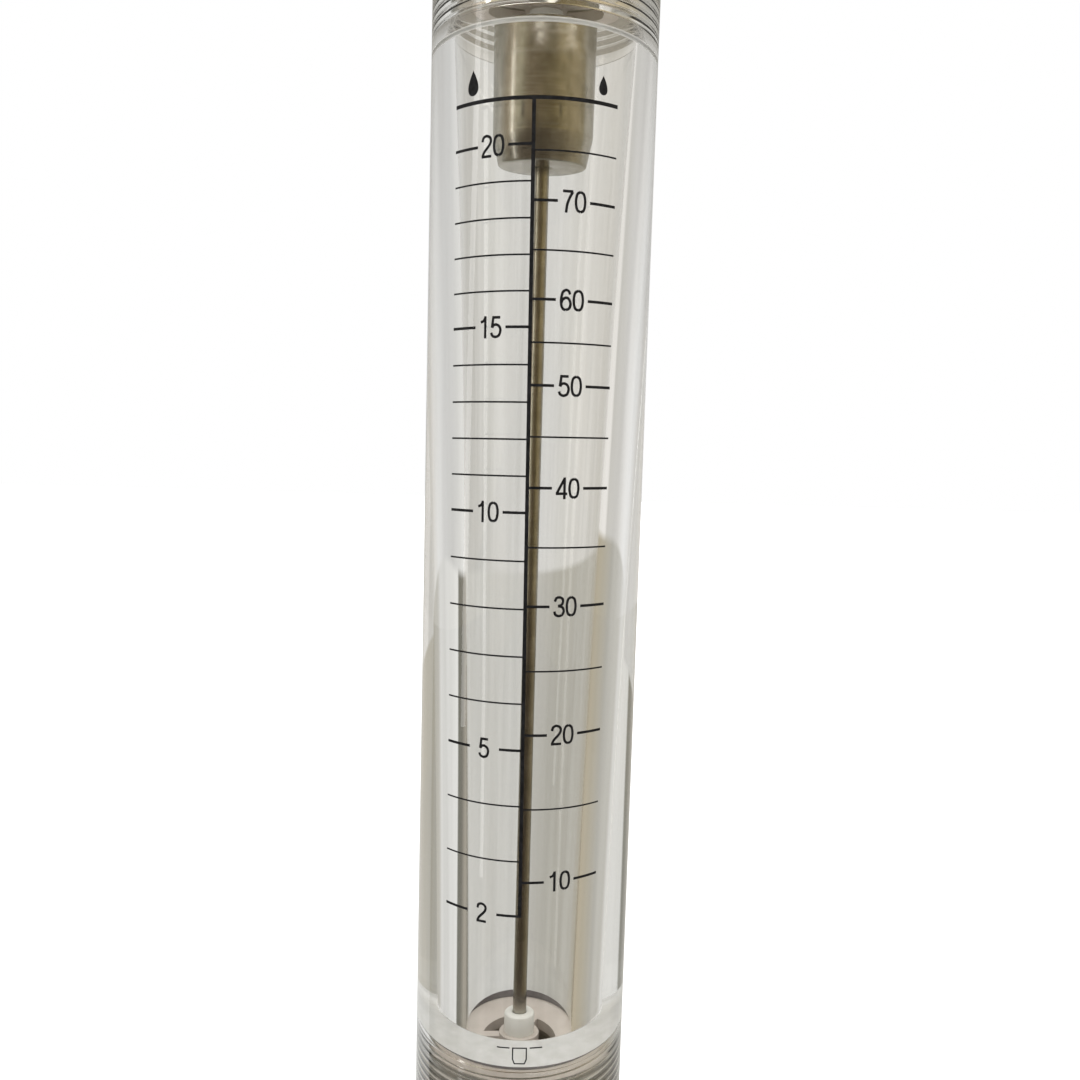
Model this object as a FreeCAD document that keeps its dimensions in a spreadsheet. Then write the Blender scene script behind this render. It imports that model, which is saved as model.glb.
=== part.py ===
"""In-line variable-area flow meter (rotameter) with a clear acrylic metering tube.

The tube stands on +Z, the way the fluid rises. The origin is the centre of the inlet's end face.
Two identical pipe adapters screw into threaded sockets at the tube's ends. Inside, a guide rod runs
the length of the tapered bore between two three-armed holders, and a steel float slides on it.
Threads are plain here: each threaded wall lies at its pitch or its major diameter.
"""

import FreeCAD
import Part
import os

import Sketcher

DIMENSIONS = {
    # metering tube
    "tube_dia": 50.0,
    "tube_length": 270.0,
    "tube_edge": 0.8,
    "taper_foot_dia": 24.1,
    "taper_top_dia": 37.9,
    "taper_foot_height": 25.0,
    "taper_top_height": 243.5,
    "socket_dia": 40.8,
    "relief_dia": 42.2,
    "lower_shoulder_height": 22.0,
    "lower_relief": 1.2,
    "upper_relief": 2.6,
    # pipe adapters
    "pipe_dia": 33.2,
    "pipe_length": 20.0,
    "pipe_chamfer": 1.2,
    "neck_dia": 30.6,
    "neck_width": 2.2,
    "flow_dia": 25.0,
    "collar_flats": 50.0,
    "collar_thick": 14.0,
    "collar_chamfer": 1.4,
    "spigot_dia": 40.6,
    "spigot_length": 18.0,
    "spigot_chamfer": 1.0,
    "holder_seat_dia": 32.0,
    "holder_seat_depth": 4.0,
    "holder_seat_cone": 3.0,
    # seals
    "seal_seat_dia": 45.6,
    "seal_seat_depth": 2.4,
    "holder_seal_inner_dia": 35.0,
    "holder_seal_outer_dia": 39.2,
    # rod holders
    "flange_dia": 39.4,
    "flange_thick": 2.4,
    "lower_flow_dia": 17.0,
    "holder_dia": 31.9,
    "hub_dia": 9.2,
    "hub_rise": 0.7,
    "hub_hole_dia": 4.6,
    "arm_width": 2.4,
    "arm_count": 3,
    "arm_angle": 64.0,
    # rod, bushes and clips
    "rod_dia": 3.2,
    "rod_end": 2.1,
    "rod_chamfer": 0.4,
    "bush_dia": 7.0,
    "bush_shank_dia": 4.56,
    "bush_bore_dia": 3.3,
    "bush_tail": 1.0,
    "lower_bush_head": 4.8,
    "upper_bush_head": 4.0,
    "clip_dia": 7.4,
    "clip_thick": 0.6,
    "clip_play": 0.1,
    "clip_groove_dia": 2.4,
    "clip_mouth": 2.0,
    "clip_relief_dia": 1.3,
    # float
    "float_dia": 21.8,
    "float_length": 29.6,
    "float_nose_dia": 19.3,
    "float_nose_height": 6.2,
    "float_top_chamfer": 0.7,
    "float_bore_dia": 3.36,
    "float_countersink": 0.7,
    "float_stop_gap": 0.05,
}

doc = FreeCAD.newDocument("Rotameter")
sheet = doc.addObject("Spreadsheet::Sheet", "Dims")


class Size:
    """A number together with the expression that ties it to the sheet."""

    def __init__(self, value, text):
        self.value = value
        self.text = text

    def __add__(self, other):
        other = as_size(other)
        return Size(self.value + other.value, f"({self.text} + {other.text})")

    def __sub__(self, other):
        other = as_size(other)
        return Size(self.value - other.value, f"({self.text} - {other.text})")

    def __mul__(self, factor):
        factor = as_size(factor)
        return Size(self.value * factor.value, f"{self.text} * {factor.text}")

    def __truediv__(self, factor):
        factor = as_size(factor)
        return Size(self.value / factor.value, f"{self.text} / ({factor.text})")

    def __neg__(self):
        return Size(-self.value, f"-{self.text}")


def as_size(thing):
    return thing if isinstance(thing, Size) else Size(float(thing), str(thing))


def fill_sheet():
    """Writes each driving dimension to the sheet and returns it as a Size by its name."""
    sizes = {}
    for row, (alias, value) in enumerate(DIMENSIONS.items(), start=1):
        sheet.set(f"A{row}", alias)
        sheet.set(f"B{row}", str(value))
        sheet.setAlias(f"B{row}", alias)
        sizes[alias] = Size(float(value), f"Dims.{alias}")
    doc.recompute()
    return sizes


D = fill_sheet()

# Heights and radii that several pieces share, in the frame of the whole meter.
tube_foot = D["pipe_length"] + D["collar_thick"]
tube_head = tube_foot + D["tube_length"]
overall = tube_head + tube_foot
lower_nose = tube_foot + D["spigot_length"]
upper_nose = tube_head - D["spigot_length"]
lower_holder_foot = lower_nose - D["holder_seat_depth"]
lower_hub = D["holder_seat_depth"] + D["flange_thick"] + D["hub_rise"]
lower_stop = lower_holder_foot + lower_hub + D["lower_bush_head"]
upper_stop = upper_nose - D["upper_bush_head"]
float_foot = upper_stop - D["float_stop_gap"] - D["float_length"]
lower_shank_length = lower_hub + D["bush_tail"]
upper_shank_length = D["holder_seat_depth"] + D["bush_tail"]
spigot_radius = D["spigot_dia"] / 2
seal_seat_radius = D["seal_seat_dia"] / 2
rod_foot = (
    lower_holder_foot - D["bush_tail"] - D["clip_thick"] - D["clip_play"] - D["rod_end"]
)
rod_head = upper_nose + upper_shank_length + D["clip_thick"] + D["clip_play"] + D["rod_end"]


def new_body(name):
    body = doc.addObject("PartDesign::Body", name)
    body.Label = name
    return body


def place(body, height, turned_over=False, turn=None):
    """Stands the body at that height, upside down if asked, turned about +Z by `turn` degrees."""
    over = FreeCAD.Rotation(FreeCAD.Vector(1, 0, 0), 180 if turned_over else 0)
    about = FreeCAD.Rotation(FreeCAD.Vector(0, 0, 1), turn.value if turn else 0)
    body.Placement = FreeCAD.Placement(FreeCAD.Vector(0, 0, height.value), about * over)
    body.setExpression("Placement.Base.z", height.text)


def new_sketch(body, name, role, height=None):
    """A sketch on one of the body's own origin planes, raised along its normal if asked."""
    sketch = body.newObject("Sketcher::SketchObject", name)
    plane = next(f for f in body.Origin.OriginFeatures if f.Role == role)
    sketch.AttachmentSupport = (plane, "")
    sketch.MapMode = "FlatFace"
    if height is not None:
        sketch.AttachmentOffset = FreeCAD.Placement(
            FreeCAD.Vector(0, 0, height.value), FreeCAD.Rotation()
        )
        sketch.setExpression("AttachmentOffset.Base.z", height.text)
    return sketch


def tie(sketch, constraint, size):
    index = sketch.addConstraint(constraint)
    sketch.setExpression(f"Constraints[{index}]", size.text)


def pin_point(sketch, line, x, y):
    """Holds the start of a line at (x, y), each coordinate tied to the sheet."""
    for axis, kind, size in ((-2, "DistanceX", x), (-1, "DistanceY", y)):
        if size.value == 0:
            sketch.addConstraint(Sketcher.Constraint("PointOnObject", line, 1, axis))
        else:
            tie(sketch, Sketcher.Constraint(kind, -1, 1, line, 1, size.value), size)


def draw_outline(sketch, corners):
    """A closed outline of straight lines through the corners."""
    corners = [(as_size(x), as_size(y)) for x, y in corners]
    count = len(corners)
    for i, (x, y) in enumerate(corners):
        to_x, to_y = corners[(i + 1) % count]
        start = FreeCAD.Vector(x.value, y.value, 0)
        end = FreeCAD.Vector(to_x.value, to_y.value, 0)
        sketch.addGeometry(Part.LineSegment(start, end))
    for i in range(count):
        sketch.addConstraint(Sketcher.Constraint("Coincident", i, 2, (i + 1) % count, 1))
    for i, (x, y) in enumerate(corners):
        pin_point(sketch, i, x, y)


def draw_circle(sketch, radius, x=as_size(0), y=as_size(0)):
    centre = FreeCAD.Vector(x.value, y.value, 0)
    index = sketch.addGeometry(
        Part.Circle(centre, FreeCAD.Vector(0, 0, 1), radius.value)
    )
    if x.value == 0 and y.value == 0:
        sketch.addConstraint(Sketcher.Constraint("Coincident", index, 3, -1, 1))
    else:
        tie(sketch, Sketcher.Constraint("DistanceX", -1, 1, index, 3, x.value), x)
        tie(sketch, Sketcher.Constraint("DistanceY", -1, 1, index, 3, y.value), y)
    tie(sketch, Sketcher.Constraint("Radius", index, radius.value), radius)


def revolve(body, name, corners, kind="PartDesign::Revolution"):
    """Turns an outline of (radius, height) corners about +Z, to add to the body or to cut it."""
    sketch = new_sketch(body, name + "Outline", "XZ_Plane")
    draw_outline(sketch, corners)
    feature = body.newObject(kind, name)
    feature.Profile = sketch
    feature.ReferenceAxis = (sketch, ["V_Axis"])
    feature.Angle = 360
    sketch.Visibility = False
    return feature


def pad(body, name, sketch, length):
    feature = body.newObject("PartDesign::Pad", name)
    feature.Profile = sketch
    feature.Length = length.value
    feature.setExpression("Length", length.text)
    return feature


def pocket_through(body, name, sketch):
    """Cuts the sketch's outline up through everything above the plane it lies on."""
    feature = body.newObject("PartDesign::Pocket", name)
    feature.Profile = sketch
    feature.Type = "ThroughAll"
    feature.Reversed = True
    return feature


def build_metering_tube():
    """Clear acrylic: a bore that widens upwards, and a stepped, threaded socket at each end."""
    body = new_body("metering_tube")
    radius = D["tube_dia"] / 2
    edge = D["tube_edge"]
    top = D["tube_length"]
    socket = D["socket_dia"] / 2
    relief = D["relief_dia"] / 2
    shoulder = D["lower_shoulder_height"]
    seal_depth = D["seal_seat_depth"]
    taper_top = D["taper_top_height"]
    outside = [
        (seal_seat_radius, 0),
        (radius - edge, 0),
        (radius, edge),
        (radius, top - edge),
        (radius - edge, top),
        (seal_seat_radius, top),
    ]
    upper_socket = [
        (seal_seat_radius, top - seal_depth),
        (socket, top - seal_depth),
        (socket, taper_top + D["upper_relief"]),
        (relief, taper_top + D["upper_relief"]),
        (relief, taper_top),
    ]
    bore = [
        (D["taper_top_dia"] / 2, taper_top),
        (D["taper_foot_dia"] / 2, D["taper_foot_height"]),
    ]
    lower_socket = [
        (relief, shoulder),
        (relief, shoulder - D["lower_relief"]),
        (socket, shoulder - D["lower_relief"]),
        (socket, seal_depth),
        (seal_seat_radius, seal_depth),
    ]
    revolve(body, "TubeWall", outside + upper_socket + bore + lower_socket)
    place(body, tube_foot)
    return body


def build_adapter(name, height, turned_over):
    """A moulded pipe adapter: male pipe end, hexagonal collar and the spigot that enters the tube."""
    body = new_body(name)
    across = D["collar_flats"] / 2
    collar_foot = D["pipe_length"]
    collar_head = collar_foot + D["collar_thick"]
    nose = collar_head + D["spigot_length"]
    pipe = D["pipe_dia"] / 2
    neck = D["neck_dia"] / 2
    bore = D["flow_dia"] / 2
    seat = D["holder_seat_dia"] / 2
    seat_floor = nose - D["holder_seat_depth"]
    chamfer = D["pipe_chamfer"]

    hexagon = new_sketch(body, "CollarOutline", "XY_Plane", collar_foot)
    half_side = across / 3**0.5
    corner = half_side * 2
    draw_outline(
        hexagon,
        [
            (corner, 0),
            (half_side, across),
            (-half_side, across),
            (-corner, 0),
            (-half_side, -across),
            (half_side, -across),
        ],
    )
    pad(body, "Collar", hexagon, D["collar_thick"])

    cut = D["collar_chamfer"]
    reach = corner + 1
    slope = reach - across
    for side, face, inward in (("Lower", collar_foot, 1), ("Upper", collar_head, -1)):
        revolve(
            body,
            side + "CornerCut",
            [
                (across - cut / 2, face),
                (reach, face),
                (reach, face + slope * (0.5 * inward)),
            ],
            "PartDesign::Groove",
        )

    revolve(
        body,
        "Barrel",
        [
            (bore, 0),
            (pipe - chamfer, 0),
            (pipe, chamfer),
            (pipe, collar_foot - D["neck_width"]),
            (neck, collar_foot - D["neck_width"] / 2),
            (neck, collar_foot),
            (spigot_radius, collar_foot + 1),
            (spigot_radius, nose - D["spigot_chamfer"]),
            (spigot_radius - D["spigot_chamfer"], nose),
            (seat, nose),
            (seat, seat_floor),
            (bore, seat_floor - D["holder_seat_cone"]),
        ],
    )

    bore_sketch = new_sketch(body, "FlowBoreOutline", "XY_Plane")
    draw_circle(bore_sketch, bore)
    pocket_through(body, "FlowBore", bore_sketch)
    seat_sketch = new_sketch(body, "HolderSeatOutline", "XY_Plane", seat_floor)
    draw_circle(seat_sketch, seat)
    pocket_through(body, "HolderSeat", seat_sketch)
    place(body, height, turned_over)
    return body


def build_seal(name, inner, outer, inner_thick, outer_thick, height):
    """A rubber ring that fills its seat, as thick at each edge as the seat is."""
    body = new_body(name)
    revolve(
        body,
        "Section",
        [(inner, 0), (outer, 0), (outer, outer_thick), (inner, inner_thick)],
    )
    place(body, height)
    return body


def add_arms(body, reach, height, hub_height):
    """Hub and arms of a rod holder, with the hole for the rod's bush."""
    arm = new_sketch(body, "ArmOutline", "XY_Plane")
    half = D["arm_width"] / 2
    draw_outline(arm, [(0, -half), (reach, -half), (reach, half), (0, half)])
    first = pad(body, "Arm", arm, height)
    arms = body.newObject("PartDesign::PolarPattern", "Arms")
    arms.Originals = [first]
    arms.Axis = (arm, ["N_Axis"])
    arms.Angle = 360
    arms.Occurrences = int(D["arm_count"].value)
    arms.setExpression("Occurrences", D["arm_count"].text)
    body.Tip = arms
    hub = new_sketch(body, "HubOutline", "XY_Plane")
    draw_circle(hub, D["hub_dia"] / 2)
    pad(body, "Hub", hub, hub_height)
    hole = new_sketch(body, "HubHoleOutline", "XY_Plane")
    draw_circle(hole, D["hub_hole_dia"] / 2)
    pocket_through(body, "HubHole", hole)


def build_lower_holder():
    """Flanged holder: its skirt sits in the inlet adapter and its flange carries the seal."""
    body = new_body("lower_rod_holder")
    flow = D["lower_flow_dia"] / 2
    lead = D["flow_dia"] / 2
    skirt = D["holder_dia"] / 2
    flange = D["flange_dia"] / 2
    seat = D["holder_seat_depth"]
    top = seat + D["flange_thick"]
    revolve(
        body,
        "Flange",
        [
            (lead, 0),
            (skirt, 0),
            (skirt, seat),
            (flange, seat),
            (flange, top),
            (flow, top),
            (flow, lead - flow),
        ],
    )
    add_arms(body, (flow + lead) / 2, top, lower_hub)
    place(body, lower_holder_foot, turn=D["arm_angle"])
    return body


def build_upper_holder():
    """Open ring with three arms, seated in the counterbore of the outlet adapter."""
    body = new_body("upper_rod_holder")
    flow = D["flow_dia"] / 2
    rim = D["holder_dia"] / 2
    height = D["holder_seat_depth"]
    revolve(body, "Rim", [(flow, 0), (rim, 0), (rim, height), (flow, height)])
    add_arms(body, (flow + rim) / 2, height, height)
    place(body, upper_nose, turn=as_size(90))
    return body


def build_bush(name, head, shank, height, turned_over):
    """Shouldered plastic bush: the shank fills the holder's hub and the head stops the float."""
    body = new_body(name)
    bore = D["bush_bore_dia"] / 2
    outer = D["bush_dia"] / 2
    bevel = 0.4
    revolve(
        body,
        "Sleeve",
        [
            (bore, 0),
            (D["bush_shank_dia"] / 2, 0),
            (D["bush_shank_dia"] / 2, shank),
            (outer, shank),
            (outer, shank + head - bevel),
            (outer - bevel, shank + head),
            (bore, shank + head),
        ],
    )
    place(body, height, turned_over)
    return body


def build_rod():
    """Straight steel guide rod with a groove near each end for its clip."""
    body = new_body("guide_rod")
    radius = D["rod_dia"] / 2
    groove = D["clip_groove_dia"] / 2
    chamfer = D["rod_chamfer"]
    width = D["clip_thick"] + D["clip_play"]
    length = rod_head - rod_foot
    low = D["rod_end"]
    high = length - D["rod_end"]
    revolve(
        body,
        "Shaft",
        [
            (0, 0),
            (radius - chamfer, 0),
            (radius, chamfer),
            (radius, low),
            (groove, low),
            (groove, low + width),
            (radius, low + width),
            (radius, high - width),
            (groove, high - width),
            (groove, high),
            (radius, high),
            (radius, length - chamfer),
            (radius - chamfer, length),
            (0, length),
        ],
    )
    place(body, rod_foot)
    return body


def build_clip(name, height):
    """Flat E-clip: a split ring whose mouth and two reliefs leave three prongs on the rod."""
    body = new_body(name)
    outline = new_sketch(body, "ClipOutline", "XY_Plane")
    draw_circle(outline, D["clip_dia"] / 2)
    draw_circle(outline, D["clip_groove_dia"] / 2)
    pad(body, "Clip", outline, D["clip_thick"])
    half = D["clip_mouth"] / 2
    mouth = new_sketch(body, "MouthOutline", "XY_Plane")
    draw_outline(
        mouth, [(0, -half), (D["clip_dia"], -half), (D["clip_dia"], half), (0, half)]
    )
    pocket_through(body, "Mouth", mouth)
    relief = D["clip_relief_dia"] / 2
    along = D["clip_groove_dia"] / 2 * 0.5
    across = D["clip_groove_dia"] / 2 * 1.2
    reliefs = new_sketch(body, "ReliefOutline", "XY_Plane")
    draw_circle(reliefs, relief, -along, across)
    draw_circle(reliefs, relief, -along, -across)
    pocket_through(body, "Reliefs", reliefs)
    place(body, height, turn=as_size(-90))
    return body


def build_float():
    """Turned steel float: a cylinder with a conical nose, bored for the guide rod."""
    body = new_body("float")
    radius = D["float_dia"] / 2
    bore = D["float_bore_dia"] / 2
    sink = D["float_countersink"]
    length = D["float_length"]
    top = D["float_top_chamfer"]
    revolve(
        body,
        "Turning",
        [
            (bore + sink, 0),
            (D["float_nose_dia"] / 2, 0),
            (radius, D["float_nose_height"]),
            (radius, length - top),
            (radius - top, length),
            (bore + sink, length),
            (bore, length - sink),
            (bore, sink),
        ],
    )
    place(body, float_foot)
    return body


def build_all():
    lower_clip = lower_holder_foot - D["bush_tail"] - D["clip_thick"] - D["clip_play"] / 2
    upper_clip = upper_nose + upper_shank_length + D["clip_play"] / 2
    seal_thick = D["seal_seat_depth"]
    end_seal = (spigot_radius, seal_seat_radius, seal_thick, seal_thick)

    # The holder's seal fills the wedge between the flange and the cone under the bore.
    flange_top = lower_nose + D["flange_thick"]
    cone_foot = tube_foot + D["lower_shoulder_height"]
    cone_rise = D["taper_foot_height"] - D["lower_shoulder_height"]
    cone_run = (D["relief_dia"] - D["taper_foot_dia"]) / 2
    inner = D["holder_seal_inner_dia"] / 2
    outer = D["holder_seal_outer_dia"] / 2
    inner_thick = cone_foot - flange_top + cone_rise * (D["relief_dia"] / 2 - inner) / cone_run
    outer_thick = cone_foot - flange_top + cone_rise * (D["relief_dia"] / 2 - outer) / cone_run
    return [
        build_metering_tube(),
        build_adapter("inlet_adapter", as_size(0), False),
        build_adapter("outlet_adapter", overall, True),
        build_seal("inlet_seal", *end_seal, tube_foot),
        build_seal("outlet_seal", *end_seal, tube_head - seal_thick),
        build_seal("lower_holder_seal", inner, outer, inner_thick, outer_thick, flange_top),
        build_lower_holder(),
        build_upper_holder(),
        build_bush(
            "lower_rod_bush",
            D["lower_bush_head"],
            lower_shank_length,
            lower_holder_foot - D["bush_tail"],
            False,
        ),
        build_bush(
            "upper_rod_bush",
            D["upper_bush_head"],
            upper_shank_length,
            upper_nose + upper_shank_length,
            True,
        ),
        build_rod(),
        build_clip("lower_rod_clip", lower_clip),
        build_clip("upper_rod_clip", upper_clip),
        build_float(),
    ]


def check(bodies):
    """Stops if any feature failed to build or a sub-part isn't one valid solid."""
    for item in doc.Objects:
        if "Invalid" in item.State or "Error" in item.State:
            raise RuntimeError(f"{item.Label} failed: {item.State}")
    for body in bodies:
        shape = body.Shape
        if shape.isNull() or not shape.isValid() or len(shape.Solids) != 1:
            raise RuntimeError(f"{body.Label} is not one valid solid")


def write(bodies):
    os.makedirs("parts", exist_ok=True)
    for body in bodies:
        body.Shape.exportStep(f"parts/{body.Label}.step")
        print(f"{body.Label}: {body.Shape.Volume:.1f} mm3, {body.Shape.BoundBox}")


parts = build_all()
doc.recompute()
check(parts)
write(parts)
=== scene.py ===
"""Looks of the rotameter: clear acrylic tube, printed scale, threads, steel float, studio and camera."""

import math

import bmesh
import bpy
from mathutils import Matrix, Vector


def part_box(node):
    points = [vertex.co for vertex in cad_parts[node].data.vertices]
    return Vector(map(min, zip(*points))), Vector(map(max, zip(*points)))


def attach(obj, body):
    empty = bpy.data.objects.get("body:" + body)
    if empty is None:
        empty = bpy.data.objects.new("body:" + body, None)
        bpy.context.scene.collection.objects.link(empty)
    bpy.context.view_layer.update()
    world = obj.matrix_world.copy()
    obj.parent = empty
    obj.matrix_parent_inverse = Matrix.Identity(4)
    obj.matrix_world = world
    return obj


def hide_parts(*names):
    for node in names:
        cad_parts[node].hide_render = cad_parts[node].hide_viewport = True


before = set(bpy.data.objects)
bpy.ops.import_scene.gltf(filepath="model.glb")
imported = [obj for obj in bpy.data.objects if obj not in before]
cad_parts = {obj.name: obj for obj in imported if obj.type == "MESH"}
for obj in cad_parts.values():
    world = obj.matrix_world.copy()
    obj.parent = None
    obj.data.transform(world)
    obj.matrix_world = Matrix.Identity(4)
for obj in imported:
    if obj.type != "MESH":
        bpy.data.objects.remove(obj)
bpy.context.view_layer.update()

MM = 0.001
TURN = 2 * math.pi
HOUSING = "housing"


# ---------------------------------------------------------------- sizes, in millimetres

def span(node):
    """Lowest and highest z of a CAD node."""
    low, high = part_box(node)
    return low.z / MM, high.z / MM


def radius_of(node):
    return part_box(node)[1].x / MM


TUBE_FOOT, TUBE_HEAD = span("metering_tube")
FLOAT_FOOT, FLOAT_HEAD = span("float")
ROD_FOOT, ROD_HEAD = span("guide_rod")
TUBE_RADIUS = radius_of("metering_tube")
FLOAT_RADIUS = radius_of("float")
ROD_RADIUS = radius_of("guide_rod")
HOLDER_SEAL_FOOT, HOLDER_SEAL_HEAD = span("lower_holder_seal")
HOLDER_SEAL_RADIUS = radius_of("lower_holder_seal")
BUSH_FOOT, BUSH_HEAD = span("lower_rod_bush")
BUSH_RADIUS = radius_of("lower_rod_bush")
HUB_TOP = span("lower_rod_holder")[1]

# The bore widens evenly from its foot to its top. A turned cone and a relief lie under it.
TAPER_FOOT = TUBE_FOOT + 25.0
TAPER_TOP = TUBE_FOOT + 243.5
TAPER_FOOT_RADIUS = 12.05
TAPER_TOP_RADIUS = 18.95
CONE_FOOT = TUBE_FOOT + 22.0
RELIEF_RADIUS = 21.1
LOWER_RELIEF = 1.2
UPPER_RELIEF = 2.6
SEAL_SEAT_RADIUS = 22.8
SEAL_SEAT_DEPTH = 2.4

# The glass ends just inside the printed surface, so the ink lies clear of it.
GLASS_RADIUS = TUBE_RADIUS - 0.05

# Threads: the socket's and the spigot's share a pitch, and the pipe's is coarser.
THREAD_PITCH = 2.0
SOCKET_CREST = 19.9
SOCKET_ROOT = 21.0
SPIGOT_CREST = 20.8
SPIGOT_ROOT = 19.7
PIPE_PITCH = 2.31
PIPE_CREST = 16.6
PIPE_ROOT = 15.35

# An adapter, measured from its pipe end.
FLOW_RADIUS = 12.5
HOLDER_SEAT_RADIUS = 16.0
HOLDER_SEAT_DEPTH = 4.0
HOLDER_SEAT_END = 7.0
PIPE_EDGE = 0.9
NECK_WIDTH = 2.2
COLLAR_FOOT = 20.0
COLLAR_HEAD = 34.0
ADAPTER_NOSE = 52.0
HALF_FLATS = 25.0
COLLAR_ROUNDING = 1.0
COLLAR_CHAMFER_SLOPE = 0.57

# Turned parts on the axis.
FLOAT_NOSE_RADIUS = 9.65
FLOAT_NOSE_HEIGHT = 6.2
FLOAT_BORE = 1.68
FLOAT_COUNTERSINK = 0.7
CLIP_GROOVE_RADIUS = 1.2
CLIP_GROOVE_NEAR = 2.1
CLIP_GROOVE_FAR = 2.8
HOLDER_SEAL_BORE = 17.5
BUSH_BORE = 1.65
SHANK_RADIUS = 2.28


# ---------------------------------------------------------------- mesh building

ARC_STEPS = 3
SHARP_ANGLE = math.radians(30)
THREADED_SEGMENTS = 192


def softened(corners, before=None, after=None):
    """A section's outline from (radius, height, rounding) corners, each corner turned into an arc.

    The outline closes on itself, or lies between a point before it and a point after it.
    """
    outline = []
    chain = [before or corners[-1], *corners, after or corners[0]]
    for previous, (r, z, rounding), following in zip(chain, corners, chain[2:]):
        here = Vector((r, z))
        if rounding <= 0:
            outline.append((r, z))
            continue
        back = Vector(previous[:2]) - here
        ahead = Vector(following[:2]) - here
        reach = rounding / math.tan(back.angle(ahead) / 2)
        start = here + back.normalized() * reach
        end = here + ahead.normalized() * reach
        for k in range(ARC_STEPS + 1):
            t = k / ARC_STEPS
            point = (1 - t) ** 2 * start + 2 * t * (1 - t) * here + t**2 * end
            outline.append((point.x, point.y))
    return outline


# One turn of a thread: share of the pitch, and share of the depth from crest to root.
THREAD_FORM = (
    (0.00, 0.06),
    (0.04, 0.00),
    (0.12, 0.00),
    (0.16, 0.06),
    (0.50, 0.94),
    (0.54, 1.00),
    (0.62, 1.00),
    (0.66, 0.94),
)
THREAD_FADE = 0.45


def thread_rows(angle, z_from, z_to, crest, root, pitch):
    """Section points of a helical thread at one angle. It runs out to its root at z_from and z_to."""
    turns = math.ceil((z_to - z_from) / pitch) + 1
    rows = []
    for turn in range(turns + 1):
        for share, depth in THREAD_FORM:
            z = z_from + (turn - 1 + share + angle / TURN) * pitch
            inside = min(max(z, z_from), z_to)
            fade = min(1.0, min(inside - z_from, z_to - inside) / (THREAD_FADE * pitch))
            full = crest + (root - crest) * depth
            rows.append((root + (full - root) * fade, inside))
    return rows


def lathe(name, section, segments):
    """A closed solid of revolution. section(angle) gives its outline at that angle in mm."""
    mesh_points = bmesh.new()
    columns = []
    for i in range(segments + 1):
        angle = TURN * i / segments
        sine, cosine = math.sin(angle), -math.cos(angle)
        columns.append(
            [mesh_points.verts.new((r * sine * MM, r * cosine * MM, z * MM)) for r, z in section(angle)]
        )
    rows = len(columns[0])
    for left, right in zip(columns, columns[1:]):
        for k in range(rows):
            j = (k + 1) % rows
            mesh_points.faces.new((left[k], right[k], right[j], left[j]))
    bmesh.ops.remove_doubles(mesh_points, verts=mesh_points.verts, dist=2e-7)
    bmesh.ops.dissolve_degenerate(mesh_points, edges=mesh_points.edges, dist=1e-7)
    return finished(name, mesh_points)


def finished(name, mesh_points):
    """Turns a bmesh into an object in the scene, smooth but for its sharp edges."""
    bmesh.ops.recalc_face_normals(mesh_points, faces=mesh_points.faces)
    for face in mesh_points.faces:
        face.smooth = True
    for edge in mesh_points.edges:
        if len(edge.link_faces) == 2 and edge.calc_face_angle(0) > SHARP_ANGLE:
            edge.smooth = False
    mesh = bpy.data.meshes.new(name)
    mesh_points.to_mesh(mesh)
    mesh_points.free()
    piece = bpy.data.objects.new(name, mesh)
    bpy.context.scene.collection.objects.link(piece)
    return piece


def paint(piece, *materials, choose=None):
    """Gives a piece its materials. choose(face centre in mm) says which one a face takes."""
    for material in materials:
        piece.data.materials.append(material)
    if choose:
        for polygon in piece.data.polygons:
            polygon.material_index = choose(polygon.center / MM)


def dress(piece, body, slot, *nodes):
    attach(piece, body)
    if nodes:
        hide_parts(*nodes)


# ---------------------------------------------------------------- materials

def new_material(name, **values):
    """A Principled material with those constants on the shader's own sockets."""
    material = bpy.data.materials.new(name)
    material.use_nodes = True
    shader = material.node_tree.nodes["Principled BSDF"]
    for key, value in values.items():
        shader.inputs[key.replace("_", " ")].default_value = value
    return material, material.node_tree, shader


def add(tree, kind, **settings):
    node = tree.nodes.new(kind)
    for key, value in settings.items():
        setattr(node, key, value)
    return node


def place_texture(tree, scale=(1, 1, 1)):
    """Object coordinates in millimetres, scaled."""
    coords = add(tree, "ShaderNodeTexCoord")
    mapping = add(tree, "ShaderNodeMapping")
    mapping.inputs["Scale"].default_value = [s / MM for s in scale]
    tree.links.new(coords.outputs["Object"], mapping.inputs["Vector"])
    return mapping.outputs["Vector"]


def noise(tree, scale, detail=3.0, stretch=(1, 1, 1), rough=0.5):
    node = add(tree, "ShaderNodeTexNoise")
    node.inputs["Scale"].default_value = scale
    node.inputs["Detail"].default_value = detail
    node.inputs["Roughness"].default_value = rough
    tree.links.new(place_texture(tree, stretch), node.inputs["Vector"])
    return node.outputs["Fac"]


def remap(tree, source, low, high, from_low=0.3, from_high=0.7):
    node = add(tree, "ShaderNodeMapRange")
    node.inputs["From Min"].default_value = from_low
    node.inputs["From Max"].default_value = from_high
    node.inputs["To Min"].default_value = low
    node.inputs["To Max"].default_value = high
    tree.links.new(source, node.inputs["Value"])
    return node.outputs["Result"]


def ramp(tree, source, stops):
    node = add(tree, "ShaderNodeValToRGB")
    elements = node.color_ramp.elements
    while len(elements) < len(stops):
        elements.new(0.5)
    for element, (place, colour) in zip(elements, stops):
        element.position = place
        element.color = (*colour, 1)
    tree.links.new(source, node.inputs["Fac"])
    return node.outputs["Color"]


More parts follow.
